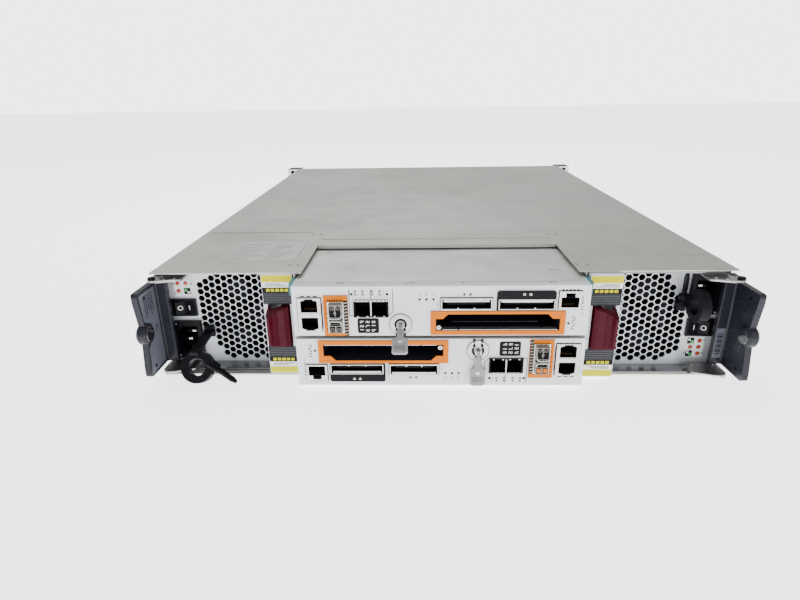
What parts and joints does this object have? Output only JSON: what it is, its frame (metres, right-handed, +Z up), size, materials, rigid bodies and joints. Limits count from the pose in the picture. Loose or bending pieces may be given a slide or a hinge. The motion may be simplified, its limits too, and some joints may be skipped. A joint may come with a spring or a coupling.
{
  "type": "disk shelf enclosure",
  "caption": "Two-unit rack disk shelf with stacked controllers between two power modules behind honeycomb vents, and latched drive carriers.",
  "frame": {"origin": "middle of the chassis floor's rear edge, on the underside", "axes": "+X to the right as seen from the connector side, +Y from the connector side towards the drives, +Z up"},
  "size_m": [0.4826, 0.6532, 0.0879],
  "materials": {
    "chassis_steel": "satin galvanised sheet",
    "pale_paint": "satin",
    "bright_steel": "brushed",
    "slate_plastic": "moulded",
    "black_plastic": "moulded",
    "maroon_plastic": "satin moulded",
    "grey_plastic": "moulded",
    "port_shield": "stamped",
    "orange_frame": "satin",
    "board_green": "solder mask",
    "dark_bezel": "moulded"
  },
  "bodies": {
    "chassis": {"chassis_base": "chassis_steel", "top_cover": "chassis_steel", "rack_ear_left": "bright_steel", "rack_ear_right": "bright_steel", "ear_cover_left": "dark_bezel", "ear_cover_right": "dark_bezel", "drive_cage": "chassis_steel", "midplane_board": "board_green", "bay_walls": "chassis_steel", "node_shelf": "chassis_steel", "bay_blanks": "dark_bezel"},
    "pcm_left": {"pcm_left_case": "bright_steel", "pcm_left_rear_panel": "pale_paint", "pcm_left_latch_housing": "pale_paint", "pcm_left_power_entry": "black_plastic", "pcm_left_cord_strap": "black_plastic", "pcm_left_fan_frames": "black_plastic"},
    "pcm_left_handle": {"pcm_left_handle": "maroon_plastic"},
    "pcm_left_rocker": {"pcm_left_rocker": "black_plastic"},
    "pcm_left_wing": {"pcm_left_wing": "slate_plastic"},
    "pcm_left_fan_rotor_a": {"pcm_left_fan_rotor_a": "black_plastic"},
    "pcm_left_fan_rotor_b": {"pcm_left_fan_rotor_b": "black_plastic"},
    "pcm_right": {"pcm_right_case": "bright_steel", "pcm_right_rear_panel": "pale_paint", "pcm_right_latch_housing": "pale_paint", "pcm_right_power_entry": "black_plastic", "pcm_right_cord_strap": "black_plastic", "pcm_right_fan_frames": "black_plastic"},
    "pcm_right_handle": {"pcm_right_handle": "maroon_plastic"},
    "pcm_right_rocker": {"pcm_right_rocker": "black_plastic"},
    "pcm_right_wing": {"pcm_right_wing": "slate_plastic"},
    "pcm_right_fan_rotor_a": {"pcm_right_fan_rotor_a": "black_plastic"},
    "pcm_right_fan_rotor_b": {"pcm_right_fan_rotor_b": "black_plastic"},
    "controller_upper": {"controller_upper_case": "chassis_steel", "controller_upper_faceplate": "pale_paint", "controller_upper_ethernet_jacks": "port_shield", "controller_upper_fibre_cages": "port_shield", "controller_upper_sas_ports": "port_shield", "controller_upper_card_bezel": "orange_frame", "controller_upper_board": "board_green"},
    "controller_upper_rod": {"controller_upper_rod": "grey_plastic"},
    "controller_upper_paddle": {"controller_upper_paddle": "grey_plastic"},
    "controller_lower": {"controller_lower_case": "chassis_steel", "controller_lower_faceplate": "pale_paint", "controller_lower_ethernet_jacks": "port_shield", "controller_lower_fibre_cages": "port_shield", "controller_lower_sas_ports": "port_shield", "controller_lower_card_bezel": "orange_frame", "controller_lower_board": "board_green"},
    "controller_lower_rod": {"controller_lower_rod": "grey_plastic"},
    "controller_lower_paddle": {"controller_lower_paddle": "grey_plastic"},
    "carrier_0": {"drive_carrier_0": "dark_bezel"},
    "carrier_0_lever": {"carrier_lever_0": "grey_plastic"},
    "carrier_1": {"drive_carrier_1": "dark_bezel"},
    "carrier_1_lever": {"carrier_lever_1": "grey_plastic"},
    "carrier_2": {"drive_carrier_2": "dark_bezel"},
    "carrier_2_lever": {"carrier_lever_2": "grey_plastic"},
    "carrier_3": {"drive_carrier_3": "dark_bezel"},
    "carrier_3_lever": {"carrier_lever_3": "grey_plastic"}
  },
  "joints": [
    {"name": "pcm_left_slide", "type": "slide", "parent": "chassis", "child": "pcm_left", "axis": [0, -1, 0], "range_m": [0, 0.3]},
    {"name": "pcm_left_latch_turn", "type": "hinge", "parent": "pcm_left", "child": "pcm_left_handle", "pos_m": [-0.1186, 0.0048, 0.04375], "axis": [0, 0, 1], "range_deg": [0, 25]},
    {"name": "pcm_left_switch_rock", "type": "hinge", "parent": "pcm_left", "child": "pcm_left_rocker", "pos_m": [-0.20655, 0.025, 0.0518], "axis": [0, 0, 1], "range_deg": [-14, 0]},
    {"name": "pcm_left_wing_turn", "type": "hinge", "parent": "pcm_left", "child": "pcm_left_wing", "pos_m": [-0.2196, 0.0095, 0.04375], "axis": [0, 0, -1], "range_deg": [0, 40]},
    {"name": "pcm_left_fan_spin_a", "type": "hinge", "parent": "pcm_left", "child": "pcm_left_fan_rotor_a", "pos_m": [-0.163, 0.036, 0.0226], "axis": [0, -1, 0], "continuous": true},
    {"name": "pcm_left_fan_spin_b", "type": "hinge", "parent": "pcm_left", "child": "pcm_left_fan_rotor_b", "pos_m": [-0.163, 0.036, 0.0649], "axis": [0, -1, 0], "continuous": true},
    {"name": "pcm_right_slide", "type": "slide", "parent": "chassis", "child": "pcm_right", "axis": [0, -1, 0], "range_m": [-0.006, 0.294]},
    {"name": "pcm_right_latch_turn", "type": "hinge", "parent": "pcm_right", "child": "pcm_right_handle", "pos_m": [0.1186, -0.0012, 0.04375], "axis": [0, 0, -1], "range_deg": [0, 25]},
    {"name": "pcm_right_switch_rock", "type": "hinge", "parent": "pcm_right", "child": "pcm_right_rocker", "pos_m": [0.20655, 0.019, 0.0357], "axis": [0, 0, -1], "range_deg": [-14, 0]},
    {"name": "pcm_right_wing_turn", "type": "hinge", "parent": "pcm_right", "child": "pcm_right_wing", "pos_m": [0.2196, 0.0035, 0.04375], "axis": [0, 0, 1], "range_deg": [0, 40]},
    {"name": "pcm_right_fan_spin_a", "type": "hinge", "parent": "pcm_right", "child": "pcm_right_fan_rotor_a", "pos_m": [0.163, 0.03, 0.0649], "axis": [0, -1, 0], "continuous": true},
    {"name": "pcm_right_fan_spin_b", "type": "hinge", "parent": "pcm_right", "child": "pcm_right_fan_rotor_b", "pos_m": [0.163, 0.03, 0.0226], "axis": [0, -1, 0], "continuous": true},
    {"name": "controller_upper_slide", "type": "slide", "parent": "chassis", "child": "controller_upper", "axis": [0, -1, 0], "range_m": [0, 0.3]},
    {"name": "controller_upper_rod_pull", "type": "slide", "parent": "controller_upper", "child": "controller_upper_rod", "axis": [0, -1, 0], "range_m": [0, 0.035]},
    {"name": "controller_upper_paddle_swing", "type": "hinge", "parent": "controller_upper_rod", "child": "controller_upper_paddle", "pos_m": [-0.0287, -0.0251, 0.0539], "axis": [-1, 0, 0], "range_deg": [-70, 20]},
    {"name": "controller_lower_slide", "type": "slide", "parent": "chassis", "child": "controller_lower", "axis": [0, -1, 0], "range_m": [0, 0.3]},
    {"name": "controller_lower_rod_pull", "type": "slide", "parent": "controller_lower", "child": "controller_lower_rod", "axis": [0, -1, 0], "range_m": [0, 0.035]},
    {"name": "controller_lower_paddle_swing", "type": "hinge", "parent": "controller_lower_rod", "child": "controller_lower_paddle", "pos_m": [0.0287, -0.0251, 0.0325], "axis": [-1, 0, 0], "range_deg": [0, 90]},
    {"name": "carrier_0_slide", "type": "slide", "parent": "chassis", "child": "carrier_0", "axis": [0, 1, 0], "range_m": [0, 0.18]},
    {"name": "carrier_0_lever_turn", "type": "hinge", "parent": "carrier_0", "child": "carrier_0_lever", "pos_m": [0.207, 0.5948, 0.02055], "axis": [-1, 0, 0], "range_deg": [0, 60]},
    {"name": "carrier_1_slide", "type": "slide", "parent": "chassis", "child": "carrier_1", "axis": [0, 1, 0], "range_m": [0, 0.18]},
    {"name": "carrier_1_lever_turn", "type": "hinge", "parent": "carrier_1", "child": "carrier_1_lever", "pos_m": [0.189, 0.5948, 0.02055], "axis": [-1, 0, 0], "range_deg": [0, 60]},
    {"name": "carrier_2_slide", "type": "slide", "parent": "chassis", "child": "carrier_2", "axis": [0, 1, 0], "range_m": [0, 0.18]},
    {"name": "carrier_2_lever_turn", "type": "hinge", "parent": "carrier_2", "child": "carrier_2_lever", "pos_m": [0.171, 0.5948, 0.02055], "axis": [-1, 0, 0], "range_deg": [0, 60]},
    {"name": "carrier_3_slide", "type": "slide", "parent": "chassis", "child": "carrier_3", "axis": [0, 1, 0], "range_m": [0, 0.18]},
    {"name": "carrier_3_lever_turn", "type": "hinge", "parent": "carrier_3", "child": "carrier_3_lever", "pos_m": [0.153, 0.5948, 0.02055], "axis": [-1, 0, 0], "range_deg": [0, 60]}
  ]
}
